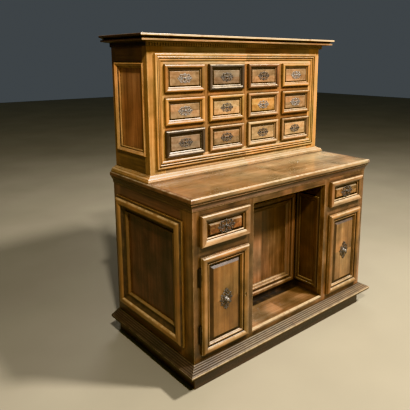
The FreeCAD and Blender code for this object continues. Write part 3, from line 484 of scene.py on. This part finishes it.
def wood(
    name, tones, rule, figure=11.0, wear_and_highlight_amount=0.5, shade_and_grime=1.0, rough=0.32, seed=0.0, mottle=0.3, lining=None,
    inner=None, burl=0.0, recess_shadow=None, slope_highlight=0.5, grooves=(), lip=None, bare_and_highlight_colour=WARM_WEAR_AND_HIGHLIGHT, painted_light_ramp=None, coat=0.35,
):
    """Waxed wood: figure and pores along the grain, pale edges, painted shade in the corners, and a soft
    sheen.

    tones are its four colours, figure is how fine its rings are, mottle how strong its blotches are, and
    seed moves its figure. inner gives other tones to the rule's field, and burl curls the figure there.
    wear_and_highlight_amount is how pale the edges are made, partly abraded and partly painted highlight,
    slope_highlight how strong the painted highlight on the upward-sloping faces beside them is, and
    bare_and_highlight_colour the colour they take. shade_and_grime is how dark the painted shade and soil
    are. rough is the roughness, coat the wax that shines.

    lining is the y behind which the wood is plain. recess_shadow is the y behind which, and the z under
    which, a painted shadow makes it dark. grooves are spans of depth in a ring, each with its painted shade
    and soil. lip is the y in front of which, and the z over which, an edge is pale, partly abraded and
    partly a painted highlight. painted_light_ramp is an x with its tint and another x with its own, which
    paint lighter and darker parts across the piece.
    """
    tree = Tree(name)
    grain = Grain(tree, rule, seed)
    grain.draw(figure, burl)
    colour = grain.colour(tones, inner, mottle)
    # Painted light and shade: a tint that ramps from one x to another across the piece
    if painted_light_ramp:
        start, first_tint, end, second_tint = painted_light_ramp
        share = tree.range(grain.place.x, start, end)
        colour = tree.tinted(colour, tree.mix(share, (*first_tint, 1), (*second_tint, 1)))
    if lining:
        inside = tree.math("GREATER_THAN", grain.place.y, lining)
        colour = tree.mix(inside, colour, grain.toned(PLAIN))
    surface = Surface(tree, grain)
    # Pale edges, partly abrasion and partly painted highlight, and painted highlights on upward slopes
    colour = tree.mix(tree.times(surface.wear_and_highlight(slope_highlight, bool(inner), lip), wear_and_highlight_amount), colour, bare_and_highlight_colour)
    # Painted shade in corners, grooves, recesses and under ledges, with some dirt, darkens the colour
    shade_and_dirt = surface.shade_and_dirt(grooves, recess_shadow)
    colour = tree.mix(tree.times(shade_and_dirt, shade_and_grime), colour, GRIME_AND_SHADE)
    roughness = tree.add(tree.times(grain.blotch, 0.2), rough - 0.1)
    roughness = tree.add(roughness, tree.times(shade_and_dirt, 0.3))
    return tree.finish(tree.node(
        "BsdfPrincipled", Base_Color=colour, Roughness=roughness, Normal=surface.bump(), Coat_Weight=coat,
        Coat_Roughness=0.16,
    ))


def iron(name, bright, kept=1.0):
    """Dark wrought iron: bright is how pale its scoured high points are, kept how much of its light is left.
    """
    tree = Tree(name)
    place = tree.node("TexCoord").outputs["Object"]
    patches = tree.noise(place, 90.0, detail=4.0, roughness=0.6)
    colour = tree.ramp(patches, IRON_TONES)
    rounded = tree.node("Bevel", {"samples": 4}, Radius=0.0008).outputs[0]
    normal = tree.node("NewGeometry").outputs["Normal"]
    edge = tree.math("SUBTRACT", 1.0, tree.vector("DOT_PRODUCT", rounded, normal))
    open_air = tree.node("AmbientOcclusion", {"samples": 6}, Distance=0.004).outputs["AO"]
    high = tree.math("MAXIMUM", tree.range(edge, 0.03, 0.25), tree.range(open_air, 0.6, 0.95))
    colour = tree.mix(tree.times(high, bright), colour, RUBBED_IRON)
    colour = tree.mix(tree.range(open_air, 0.6, 0.2), colour, RUSTED_IRON)
    colour = tree.mix(kept, BLACK_IRON, colour)
    bump = tree.node("Bump", Height=tree.noise(place, 420.0, roughness=0.6), Normal=rounded)
    bump.inputs["Strength"].default_value = 0.5
    bump.inputs["Distance"].default_value = 0.0005
    shader = tree.node(
        "BsdfPrincipled", Base_Color=colour, Metallic=0.7, Normal=bump.outputs[0],
        Roughness=tree.range(patches, 0.3, 0.7, to_low=0.32, to_high=0.58),
    )
    return tree.finish(shader)


def dress(node, material):
    """Gives a node one material in place of the ones it came with."""
    for slot in nodes[node].material_slots:
        slot.link = "OBJECT"
        slot.material = material


def dress_lower_case():
    """The frames, sides, back and table top of the desk."""
    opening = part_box("left_lower_drawer")
    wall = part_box("kneehole_lining")[1].x
    uprights = [(-opening[0].x, BEYOND), (wall - PEDESTAL_WALL, -opening[1].x)]
    # Painted light: the lower front darker toward the near corner, brighter and greyer toward the right
    dress("lower_front_frame", wood(
        "lower_front_walnut", UMBER, framed("x", uprights), seed=1, wear_and_highlight_amount=0.6, mottle=0.7,
        painted_light_ramp=(-0.3, (0.79, 0.79, 0.84), 0.35, (1.27, 1.3, 1.5)),
    ))
    low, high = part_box("lower_side_panels")
    uprights = [(-BEYOND, low.y), (high.y, BEYOND)]
    dress("lower_side_frames", wood("lower_side_walnut", SIDE, framed("y", uprights), seed=2))
    dress("lower_side_panels", wood("lower_panel_walnut", DEEP, one_way("z"), figure=8, seed=3, mottle=0.6))
    dress("lower_side_mouldings", wood(
        "lower_side_moulding_walnut", HONEY, mitred("x", *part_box("lower_side_mouldings"), LOWER_SIDE_WIDTH),
        wear_and_highlight_amount=0.9, seed=4, slope_highlight=0.8, grooves=LOWER_SIDE_GROOVES,
    ))
    dress("lower_back_boards", wood("lower_back_wood", PLAIN, one_way("z"), rough=0.6, seed=5))
    dress("lower_bottom_board", wood("lower_bottom_wood", PLAIN, one_way("x"), rough=0.6, seed=7))
    dress("pedestal_runners", wood("runner_wood", PLAIN, one_way("y"), rough=0.6, seed=8))
    under = wrapped(*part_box("under_top_moulding"))
    dress("under_top_moulding", wood("under_top_walnut", SIDE, under, wear_and_highlight_amount=0.7, seed=13))
    # Painted sheen: the table top paler and greyer toward its right end, darker toward its left
    dress("table_top", wood(
        "table_walnut", TOP, ended(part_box("table_top")[1].x - END_GRAIN), inner=BROWN, wear_and_highlight_amount=1.0, seed=14,
        mottle=0.4, rough=0.3, slope_highlight=1.0, bare_and_highlight_colour=PALE_WEAR_AND_HIGHLIGHT,
        painted_light_ramp=(-0.3, (0.75, 0.76, 0.78), 0.6, (1.32, 1.7, 2.2)),
    ))


def dress_base():
    """The plinth, and the base moulding with painted shade and some soil in the valleys between its reeds,
    and painted shade toward its near corner.
    """
    dress("plinth", wood("plinth_walnut", DEEP, wrapped(*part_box("plinth")), seed=9))
    low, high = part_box("base_moulding")
    reed = (BASE_OVERHANG - 2 * BASE_FILLET) / BASE_REEDS
    valleys = [2 * BASE_FILLET + reed * number for number in range(1, BASE_REEDS)]
    # A pale lower arris, partly abrasion and partly a painted highlight
    arris = (low.y + PALE_EDGE, low.z + 0.018)
    # Painted shade: the base moulding darker toward its near left corner
    dress("base_moulding", wood(
        "base_walnut", BASE, wrapped(low, high), inner=SHADED, wear_and_highlight_amount=0.7, rough=0.55, seed=10, slope_highlight=0.15,
        shade_and_grime=1.25, bare_and_highlight_colour=PALE_WEAR_AND_HIGHLIGHT, coat=0.0, lip=arris,
        grooves=[(valley - VALLEY_HALF_WIDTH, valley + VALLEY_HALF_WIDTH, MEDIUM_SHADE_AND_DIRT) for valley in valleys],
        painted_light_ramp=(-0.63, (0.42, 0.41, 0.4), -0.3, CLEAR),
    ))


def dress_kneehole():
    """The kneehole: a painted shadow at the foot of its back, painted shade on its right wall, and a pale,
    abraded front edge along its floor.
    """
    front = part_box("lower_front_frame")[0].y
    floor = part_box("kneehole_lining")[0].z + KNEEHOLE_FLOOR_BOARD
    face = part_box("kneehole_mouldings")[1].x
    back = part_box("kneehole_mouldings")[1].y
    boards = lined(floor + 0.002, back - 0.02)
    # A painted shadow at the foot of the back, and painted shade on the right wall
    recess_shadow = (back - 0.04, floor + 0.034)
    lip = (front + 0.012, floor - 0.006)
    wall_shade = (face - 0.03, CLEAR, face - 0.01, even(0.38))
    dress("kneehole_lining", wood(
        "kneehole_walnut", BROWN, boards, inner=SCUFFED, seed=11, wear_and_highlight_amount=0.9, mottle=0.5, recess_shadow=recess_shadow,
        bare_and_highlight_colour=PALE_WEAR_AND_HIGHLIGHT, painted_light_ramp=wall_shade, lip=lip,
    ))
    dress("kneehole_mouldings", wood(
        "kneehole_moulding_walnut", BROWN, one_way("z"), wear_and_highlight_amount=0.8, seed=12, painted_light_ramp=wall_shade,
    ))


def dress_upper_case():
    """The fixed woodwork of the case of drawers."""
    dress("upper_back_boards", wood("upper_back_wood", PLAIN, one_way("z"), rough=0.6, seed=6))
    dress("upper_base_moulding", wood(
        "upper_base_walnut", PALE, wrapped(*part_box("upper_base_moulding")), inner=GOLDEN, wear_and_highlight_amount=0.9, seed=15,
        slope_highlight=1.0, bare_and_highlight_colour=PALE_WEAR_AND_HIGHLIGHT,
    ))
    bank = -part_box("drawer_row1_column1")[0].x
    # Painted light: the rails, the frieze under the cornice among them, take paler tones and little painted
    # shade, and the frame is brighter toward the right
    dress("upper_front_frame", wood(
        "upper_front_walnut", GOLDEN, framed("x", [(bank, BEYOND)]), inner=PALE, wear_and_highlight_amount=1.0, seed=16,
        shade_and_grime=0.25, painted_light_ramp=(-0.4, CLEAR, 0.55, (1.5, 1.5, 1.45)),
    ))
    low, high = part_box("upper_side_panels")
    uprights = [(-BEYOND, low.y), (high.y, BEYOND)]
    dress("upper_side_frames", wood(
        "upper_side_walnut", CHESTNUT, framed("y", uprights), wear_and_highlight_amount=1.0, seed=17,
    ))
    # Painted light: lighter tones brighten the side's panel and mouldings
    dress("upper_side_panels", wood("upper_panel_walnut", REDDISH, one_way("z"), seed=18))
    dress("upper_side_mouldings", wood(
        "upper_side_moulding_walnut", AMBER, mitred("x", *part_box("upper_side_mouldings"), UPPER_SIDE_WIDTH),
        wear_and_highlight_amount=0.7, seed=19, grooves=UPPER_SIDE_GROOVES,
    ))
    # Painted light: the bank moulding darker toward the right
    dress("bank_moulding", wood(
        "bank_walnut", GOLDEN, mitred("y", *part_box("bank_moulding"), BANK_WIDTH), wear_and_highlight_amount=0.9, seed=20,
        grooves=BANK_GROOVES, slope_highlight=0.9, bare_and_highlight_colour=PALE_WEAR_AND_HIGHLIGHT, painted_light_ramp=(0.1, CLEAR, 0.5, (0.8, 0.8, 0.75)),
    ))
    third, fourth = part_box("drawer_row1_column3"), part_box("drawer_row1_column4")
    uprights = [(-BEYOND, third[0].x), (third[1].x, fourth[0].x), (fourth[1].x, BEYOND)]
    shade = (0.7, 0.65, 0.73)
    dress("upper_inner_boards", wood(
        "partition_walnut", GOLDEN, framed("x", uprights), seed=21, painted_light_ramp=(-0.5, shade, 0.5, shade),
    ))
    low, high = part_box("cornice")
    nose = (low.y + PALE_EDGE, high.z - 0.009)
    # Painted shade: the returns take the darkest tones; the top board's front edge is pale, partly abrasion
    # and partly a painted highlight
    dress("cornice", wood(
        "cornice_walnut", TAWNY, wrapped(low, high), inner=DEEP, wear_and_highlight_amount=0.8, seed=22, slope_highlight=0.4, bare_and_highlight_colour=PALE_WEAR_AND_HIGHLIGHT,
        lip=nose,
    ))
    # Painted light: the dentils take pale tones and little painted shade, so they show under the cornice
    dress("dentil_strip", wood(
        "dentil_walnut", PALE, one_way("x"), seed=23, wear_and_highlight_amount=1.0, shade_and_grime=0.5, bare_and_highlight_colour=PALE_WEAR_AND_HIGHLIGHT,
    ))


# Tones of the small drawers that differ from the others, by row and column: of the ring and of the field
RING_TONES = {
    (1, 1): HONEY, (1, 2): BLACKENED, (1, 3): BROWN, (1, 4): GOLDEN, (2, 1): GOLDEN, (2, 2): GOLDEN,
    (2, 4): HONEY, (3, 1): BLACKENED, (3, 3): PALE,
}
FIELD_TONES = {
    (1, 2): FADED, (2, 2): PALE, (2, 3): GOLDEN, (3, 1): FADED, (3, 3): PALE, (3, 4): PALE,
}

# Rows and columns of the small drawers
SMALL_DRAWERS = [(row, column) for row in (1, 2, 3) for column in (1, 2, 3, 4)]


def dress_drawers():
    """Twelve small drawers, each with its own tones, and the two large ones."""
    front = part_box("upper_front_frame")[0].y
    for row, column in SMALL_DRAWERS:
        name = f"drawer_row{row}_column{column}"
        outer = RING_TONES.get((row, column), TAWNY)
        dress(name, wood(
            name + "_walnut", outer, mitred("y", *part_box(name), SMALL_DRAWER_WIDTH),
            inner=FIELD_TONES.get((row, column), BLEACHED), wear_and_highlight_amount=0.9, seed=30 + 4 * row + column,
            lining=front + SMALL_FRONT, burl=0.35, grooves=SMALL_DRAWER_GROOVES, coat=0.2,
            slope_highlight=0.5 if outer == GOLDEN else 0.8, bare_and_highlight_colour=WARM_WEAR_AND_HIGHLIGHT if outer == GOLDEN else PALE_WEAR_AND_HIGHLIGHT,
        ))
    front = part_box("lower_front_frame")[0].y
    for side, inner in (("left", RUSSET), ("right", HONEY)):
        name = side + "_lower_drawer"
        dress(name, wood(
            name + "_walnut", TAWNY, mitred("y", *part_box(name), LARGE_DRAWER_WIDTH), inner=inner, wear_and_highlight_amount=1.0,
            seed=50, mottle=0.5, lining=front + LARGE_FRONT, burl=0.85, grooves=LARGE_DRAWER_GROOVES,
            slope_highlight=1.0, bare_and_highlight_colour=PALE_WEAR_AND_HIGHLIGHT,
        ))


def dress_doors():
    """The mouldings and the raised panel of each door; the left one carries painted shade: darker tones on
    its panel, and darker toward its free edge.
    """
    # Painted shade: the left door's panel takes darker tones than the right's
    for side, panel_tones in (("left", CHESTNUT), ("right", HONEY)):
        node = side + "_door_frame"
        low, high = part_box(node)
        middle, free_edge = (low.x + high.x) / 2, high.x - 0.03
        shade = (middle, even(1.04), free_edge, even(0.72)) if side == "left" else None
        dress(node, wood(
            node + "_walnut", HONEY, mitred("y", low, high, DOOR_WIDTH), wear_and_highlight_amount=0.9, seed=60, mottle=0.5,
            grooves=DOOR_GROOVES, slope_highlight=0.7, bare_and_highlight_colour=PALE_WEAR_AND_HIGHLIGHT, painted_light_ramp=shade,
        ))
        dress(side + "_door_panel", wood(
            side + "_door_panel_walnut", panel_tones, mitred("y", low, high, DOOR_WIDTH, upright_field=True),
            wear_and_highlight_amount=0.4, seed=61, slope_highlight=0.0, grooves=DOOR_PANEL_GROOVES, mottle=0.5,
        ))


def dress_hinges():
    """The dark iron of the hinge leaves, knuckles and pins."""
    metal = iron("hinge_iron", bright=0.1, kept=0.25)
    for name in nodes:
        if "hinges" in name:
            dress(name, metal)


def spiral(centre, start, end, radius_from, radius_to, steps=14):
    """Points along a scroll: its radius changes evenly while it turns from one angle to the other."""
    points = []
    for step in range(steps + 1):
        share = step / steps
        angle = math.radians(start + (end - start) * share)
        radius = radius_from + (radius_to - radius_from) * share ** 0.8
        points.append((centre[0] + radius * math.cos(angle), centre[1] + radius * math.sin(angle)))
    return points


def circle(centre, radius, steps=12):
    """Points round a small ring."""
    return spiral(centre, 0, 360, radius, radius, steps)


# Scrolls of one quarter of each mount, in millimetres from its middle: across and up
DRAWER_LACE = [
    spiral((15.5, 9.5), 195, -270, 9.5, 1.8, 18), spiral((28.5, 5.6), 205, -200, 7.2, 1.5),
    spiral((6.0, 15.2), 250, -60, 5.2, 2.0, 10), spiral((22.0, 14.0), 180, -60, 4.6, 2.4, 8),
    [(21.5, 0.9), (26, 2.2), (31, 1.6), (35, 0.8)],
]
DRAWER_RINGS = [((36.4, 0), 2.7), ((0, 18.6), 2.6), ((11.2, 0), 3.4), ((18.4, 0), 2.4), ((0, 11.2), 2.4)]
ROSETTE_LACE = [
    spiral((8.5, 25.0), -110, 250, 13.0, 2.0, 20), spiral((20.5, 9.5), 195, -180, 11.0, 2.0, 16),
    spiral((6.0, 39.0), -70, 200, 6.6, 1.8, 12), spiral((24.0, 20.0), 230, -30, 6.0, 2.6, 10),
    [(12.5, 3.0), (17, 8.0), (13, 13.0), (8.0, 17.0), (3.0, 12.5)],
]
ROSETTE_RINGS = [((0, 46.3), 2.7), ((0, 34.0), 3.2), ((30.2, 0), 2.4), ((22.5, 0), 2.6), ((0, 20.0), 3.0)]

# The mounts are drawn in millimetres, this many to a metre
MILLIMETRES = 1000

# How near points are that count as one: the ends of a closed scroll, and corners that are joined
SAME_END = 1e-6
SAME_CORNER = 1e-7

# A half-round bar in cross-section, out and up in shares of its half width and rise
HALF_ROUND = [(-1, 0), (-0.72, 0.72), (0, 1), (0.72, 0.72), (1, 0)]

# A knob in shares of its radius and length: a collar, a narrow neck, and a rounded head
KNOB = [
    (1.25, 0), (1.25, 0.08), (0.95, 0.16), (0.55, 0.2), (0.45, 0.38), (0.6, 0.5), (0.92, 0.62),
    (1.0, 0.76), (0.86, 0.9), (0.5, 0.98), (0.15, 1.0),
]

# How small a scroll gets at its tips, and how wide the collar under a knob is for the knob
TIP = 0.45
COLLAR = 1.7


def sweep(mesh, points, bar, face_y, centre):
    """A half-round bar along points in the plane of a mount, flat against the wood."""
    half_width, rise = bar
    closed = math.dist(points[0], points[-1]) < SAME_END
    rows = []
    count = len(points)
    for index, (across, up) in enumerate(points):
        before = points[index - 1] if index else (points[-2] if closed else points[0])
        after = points[index + 1] if index + 1 < count else (points[1] if closed else points[-1])
        run = Vector((after[0] - before[0], after[1] - before[1])).normalized()
        size = 1.0 if closed or 0 < index < count - 1 else TIP
        row = []
        for out, lift in HALF_ROUND:
            place = Vector((across - run.y * out * half_width * size, up + run.x * out * half_width * size))
            row.append(mesh.verts.new((
                centre.x + place.x / MILLIMETRES, face_y - lift * rise * size / MILLIMETRES,
                centre.z + place.y / MILLIMETRES,
            )))
        rows.append(row)
    join_rows(mesh, rows)
    if not closed:
        mesh.faces.new(rows[0])
        mesh.faces.new(rows[-1][::-1])


def turned(mesh, radius, length, face_y, centre, steps=20):
    """A knob, turned about the way out of the wood."""
    rows = []
    for share, up in KNOB:
        reach, height = radius * share, length * up
        row = []
        for step in range(steps):
            angle = math.tau * step / steps
            row.append(mesh.verts.new((
                centre.x + reach * math.cos(angle) / MILLIMETRES, face_y - height / MILLIMETRES,
                centre.z + reach * math.sin(angle) / MILLIMETRES,
            )))
        rows.append(row)
    join_rows(mesh, rows)
    mesh.faces.new(rows[0][::-1])
    mesh.faces.new(rows[-1])


def join_rows(mesh, rows):
    """Faces between each row of points and the next, all the way round."""
    for first, second in zip(rows, rows[1:]):
        for number in range(len(first)):
            following = (number + 1) % len(first)
            mesh.faces.new((first[number], first[following], second[following], second[number]))


def pierced_mount(node, body, lace, rings, scale, bar, knob, metal, knob_metal):
    """A pierced mount of scrollwork, with its knob, in place of the plain one."""
    low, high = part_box(node)
    centre = (low + high) / 2
    face_y = high.y
    mesh = bmesh.new()
    wide, tall = scale
    for points in lace:
        for turn_x, turn_z in ((1, 1), (-1, 1), (1, -1), (-1, -1)):
            quarter = [(x * wide * turn_x, z * tall * turn_z) for x, z in points]
            sweep(mesh, quarter, bar, face_y, centre)
    for (x, z), radius in rings:
        for place in sorted({(x, z), (-x, z), (x, -z), (-x, -z)}):
            points = circle((place[0] * wide, place[1] * tall), radius * min(wide, tall))
            sweep(mesh, points, bar, face_y, centre)
    radius, length = knob
    sweep(mesh, circle((0, 0), radius * COLLAR, 20), bar, face_y, centre)
    scrolls = len(mesh.faces)
    turned(mesh, radius, length, face_y, centre)
    for number, face in enumerate(mesh.faces):
        face.material_index = int(number >= scrolls)
    bmesh.ops.remove_doubles(mesh, verts=mesh.verts, dist=SAME_CORNER)
    bmesh.ops.recalc_face_normals(mesh, faces=mesh.faces)
    data = bpy.data.meshes.new("scrolled_" + node)
    mesh.to_mesh(data)
    mesh.free()
    for face in data.polygons:
        face.use_smooth = True
    data.materials.append(metal)
    data.materials.append(knob_metal)
    piece = bpy.data.objects.new("scrolled_" + node, data)
    bpy.context.scene.collection.objects.link(piece)
    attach(piece, body)
    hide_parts(node)


# Small drawers whose mounts are rubbed bright, by row and column
RUBBED_MOUNTS = {(1, 1), (1, 4), (2, 1), (2, 3), (2, 4)}


def add_mounts():
    """The pierced ironwork of the drawers and doors, with sizes in millimetres."""
    silvered = iron("rubbed_iron", bright=0.52)
    dull = iron("dull_iron", bright=0.28, kept=0.6)
    dark = iron("dark_iron", bright=0.22, kept=0.6)
    knob_iron = iron("knob_iron", bright=0.5, kept=0.85)
    for row, column in SMALL_DRAWERS:
        label = f"row{row}_column{column}"
        metal = silvered if (row, column) in RUBBED_MOUNTS else dull
        pierced_mount(
            "mount_" + label, "small_drawer_" + label, DRAWER_LACE, DRAWER_RINGS,
            scale=(1.02, 1.02), bar=(1.25, 1.6), knob=(2.8, 6.5), metal=metal, knob_metal=metal,
        )
    for side in ("left", "right"):
        pierced_mount(
            side + "_lower_drawer_mount", side + "_drawer", DRAWER_LACE, DRAWER_RINGS,
            scale=(1.2, 1.4), bar=(1.7, 1.8), knob=(5.0, 10.0), metal=dark, knob_metal=dark,
        )
        pierced_mount(
            side + "_door_rosette", side + "_door", ROSETTE_LACE, ROSETTE_RINGS,
            scale=(1.08, 0.98), bar=(2.3, 1.9), knob=(8.2, 17.5), metal=dark, knob_metal=knob_iron,
        )


def add_floor():
    """A plain pale floor, well past the picture."""
    bpy.ops.mesh.primitive_plane_add(size=30)
    floor = bpy.context.object
    floor.name = "floor"
    tree = Tree("pale_floor")
    place = tree.node("TexCoord").outputs["Object"]
    tint = tree.ramp(tree.noise(place, 1.2, detail=4.0), FLOOR_TONES)
    floor.data.materials.append(tree.finish(tree.node("BsdfPrincipled", Base_Color=tint, Roughness=0.55)))


def add_light(name, place, target, size, power, colour):
    """A round soft light that points at the target."""
    data = bpy.data.lights.new(name, "AREA")
    data.shape = "DISK"
    data.size = size
    data.energy = power
    data.color = colour
    light = bpy.data.objects.new(name, data)
    light.location = place
    light.rotation_mode = "QUATERNION"
    light.rotation_quaternion = (Vector(target) - Vector(place)).to_track_quat("-Z", "Y")
    bpy.context.scene.collection.objects.link(light)


def add_lights():
    """Two warm lights high in front, a weak one behind, and a plain grey-blue room."""
    middle = (0, 0, 0.7)
    warm = (1, 0.96, 0.9)
    add_light("left_light", (-1.84, -2.69, 3.85), middle, size=0.25, power=215, colour=warm)
    add_light("right_light", (1.6, -2.5, 4.0), middle, size=0.5, power=430, colour=warm)
    add_light("back_light", (2.2, 2.8, 2.6), middle, size=2.0, power=45, colour=(1, 0.97, 0.93))
    world = bpy.data.worlds.new("studio")
    world.use_nodes = True
    world.node_tree.nodes["Background"].inputs["Color"].default_value = (0.195, 0.215, 0.23, 1)
    world.node_tree.nodes["Background"].inputs["Strength"].default_value = 0.45
    bpy.context.scene.world = world
    bpy.context.scene.view_settings.view_transform = "Khronos PBR Neutral"


def add_camera():
    """The photograph's angle: about 41 degrees round to the left and 11 down from level."""
    yaw, pitch = math.radians(40.75), math.radians(11.46)
    data = bpy.data.cameras.new("camera")
    data.sensor_width = 36
    data.lens = 42.68
    data.shift_x, data.shift_y = -0.0488, -0.1146
    camera = bpy.data.objects.new("camera", data)
    camera.location = (-1.691, -1.772, 1.383)
    heading = Vector((math.sin(yaw) * math.cos(pitch), math.cos(yaw) * math.cos(pitch), -math.sin(pitch)))
    camera.rotation_mode = "QUATERNION"
    camera.rotation_quaternion = heading.to_track_quat("-Z", "Y")
    bpy.context.scene.collection.objects.link(camera)
    bpy.context.scene.camera = camera


dress_lower_case()
dress_base()
dress_kneehole()
dress_upper_case()
dress_drawers()
dress_doors()
dress_hinges()
add_mounts()
add_floor()
add_lights()
add_camera()
